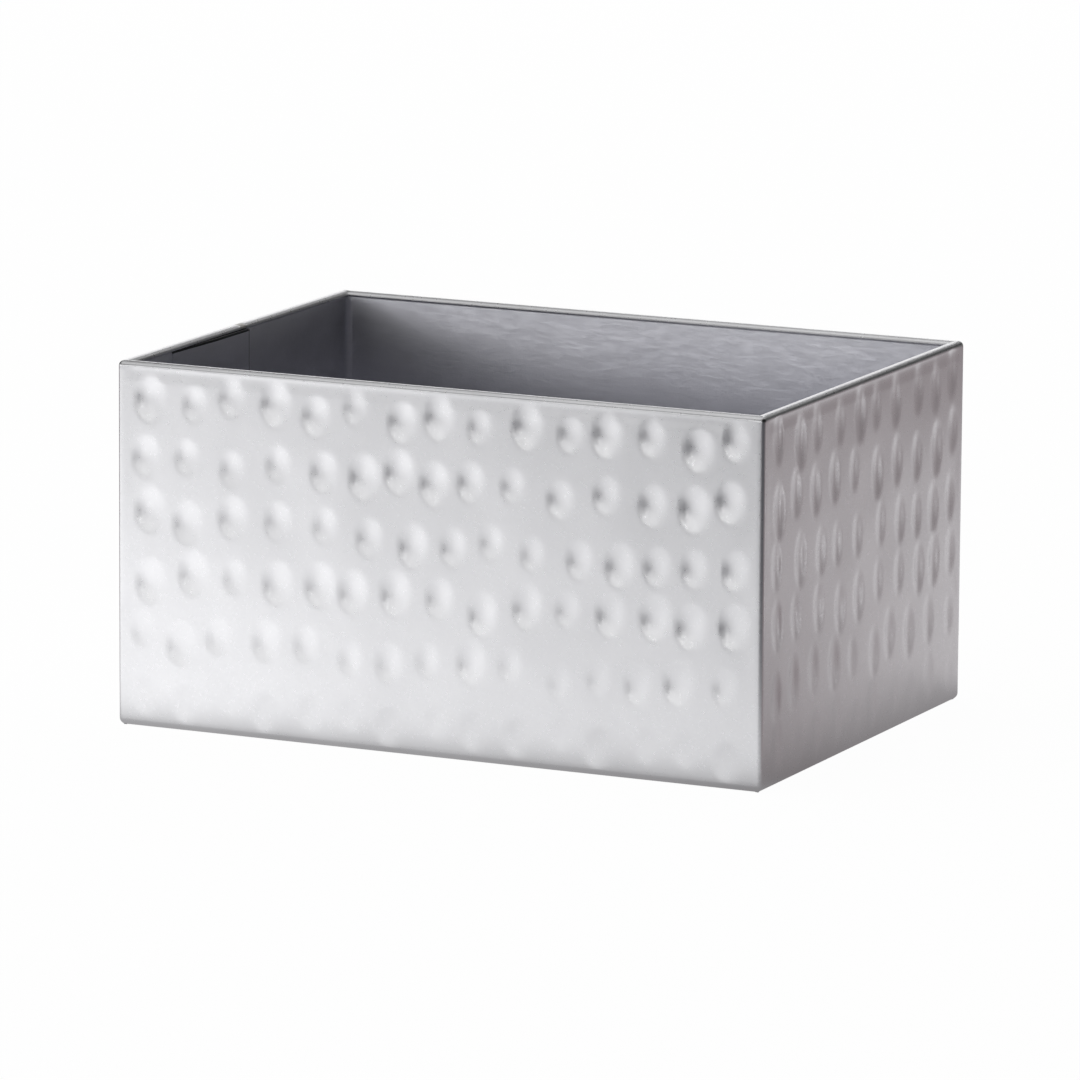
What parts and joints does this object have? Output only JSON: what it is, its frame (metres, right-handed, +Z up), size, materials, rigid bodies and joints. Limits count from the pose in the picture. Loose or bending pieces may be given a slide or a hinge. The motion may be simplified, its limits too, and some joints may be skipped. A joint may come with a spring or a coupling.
{
  "type": "sugar packet holder",
  "caption": "Open-topped rectangular holder of hammered stainless sheet with a smooth liner, for standing sugar packets on a table.",
  "frame": {"origin": "middle of the underside, on the surface that the holder stands on", "axes": "+X along the long walls, +Y across towards the back wall, +Z up through the open top; the lapped seam is on the -X end"},
  "size_m": [0.097, 0.069, 0.051],
  "materials": {
    "hammered_steel": "satin, hammered",
    "brushed_liner": "brushed along the wall",
    "plain_steel": "mill finish",
    "ground_weld": "ground flush"
  },
  "bodies": {
    "root": {"outer_skin": "hammered_steel", "skin_seam_weld": "ground_weld", "base_plate": "plain_steel", "base_plug_welds": "ground_weld", "liner": "brushed_liner", "liner_lap_welds": "ground_weld", "floor_plate": "brushed_liner", "floor_plug_welds": "ground_weld"}
  },
  "joints": []
}
